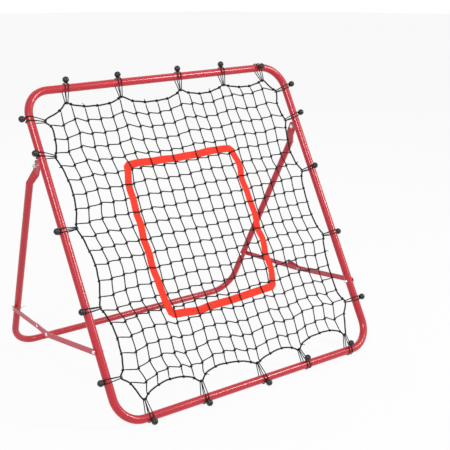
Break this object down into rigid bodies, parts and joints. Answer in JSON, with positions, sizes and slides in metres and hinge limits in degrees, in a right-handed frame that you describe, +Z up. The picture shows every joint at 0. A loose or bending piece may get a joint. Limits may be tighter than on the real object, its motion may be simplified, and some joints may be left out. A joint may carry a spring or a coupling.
{
  "type": "pitch back rebounder",
  "caption": "Ball rebounder: a square tube frame leaning on a folding U-shaped stand, with a knotted net on ball bungees and a ribbon target square",
  "frame": {"origin": "on the ground under the middle of the object's bounding box", "axes": "+Z up, +X along the frame's width to the right seen from the front, the net faces -Y and the stand opens to +Y"},
  "size_m": [1.0449, 0.7746, 0.9228],
  "materials": {
    "frame_red": "glossy red powder coat on steel tube",
    "brace_red": "paler red coat on flat steel bar",
    "net_cord": "knotted black net cord",
    "border_rope": "laid black rope",
    "target_ribbon": "woven orange-red ribbon",
    "elastic_cord": "braided black elastic cord",
    "bungee_ball": "black moulded ball",
    "fastener": "bright zinc plated steel"
  },
  "bodies": {
    "frame": {"left_upper_corner": "frame_red", "right_upper_corner": "frame_red", "left_side_tube": "frame_red", "right_side_tube": "frame_red", "left_lower_corner": "frame_red", "right_lower_corner": "frame_red", "net": "net_cord", "border_rope": "border_rope", "target_ribbon": "target_ribbon", "top_bungees": "elastic_cord", "bottom_bungees": "elastic_cord", "left_bungees": "elastic_cord", "right_bungees": "elastic_cord", "top_balls": "bungee_ball", "bottom_balls": "bungee_ball", "left_balls": "bungee_ball", "right_balls": "bungee_ball", "hinge_bolts": "fastener", "hinge_washers": "fastener", "hinge_nuts": "fastener", "front_brace_bolts": "fastener", "front_brace_nuts": "fastener"},
    "stand": {"left_leg": "frame_red", "right_leg": "frame_red", "rear_brace_bolts": "fastener", "rear_brace_washers": "fastener", "rear_brace_nuts": "fastener"},
    "left_front_brace": {"left_front_bar": "brace_red", "left_knee_rivet": "brace_red", "left_stop_stud": "brace_red"},
    "right_front_brace": {"right_front_bar": "brace_red", "right_knee_rivet": "brace_red", "right_stop_stud": "brace_red"},
    "left_rear_brace": {"left_rear_bar": "brace_red", "left_knee_cap": "brace_red"},
    "right_rear_brace": {"right_rear_bar": "brace_red", "right_knee_cap": "brace_red"}
  },
  "joints": [
    {"name": "stand_fold", "type": "hinge", "parent": "frame", "child": "stand", "pos_m": [0, 0.06109, 0.68702], "axis": [-1, 0, 0], "range_deg": [0, 54]},
    {"name": "left_front_pivot", "type": "hinge", "parent": "frame", "child": "left_front_brace", "pos_m": [-0.5, -0.24477, 0.20632], "axis": [1, 0, 0], "range_deg": [0, 54.2]},
    {"name": "right_front_pivot", "type": "hinge", "parent": "frame", "child": "right_front_brace", "pos_m": [0.5, -0.24477, 0.20632], "axis": [1, 0, 0], "range_deg": [0, 54.2]},
    {"name": "left_rear_pivot", "type": "hinge", "parent": "stand", "child": "left_rear_brace", "pos_m": [-0.485, 0.3041, 0.1659], "axis": [-1, 0, 0], "range_deg": [0, 70.4]},
    {"name": "right_rear_pivot", "type": "hinge", "parent": "stand", "child": "right_rear_brace", "pos_m": [0.485, 0.3041, 0.1659], "axis": [-1, 0, 0], "range_deg": [0, 70.4]}
  ],
  "couplings": [
    {"joint": "left_front_pivot", "follows": "stand_fold", "ratio": 1.0029},
    {"joint": "right_front_pivot", "follows": "stand_fold", "ratio": 1.0029},
    {"joint": "left_rear_pivot", "follows": "stand_fold", "ratio": 1.3034},
    {"joint": "right_rear_pivot", "follows": "stand_fold", "ratio": 1.3034}
  ]
}
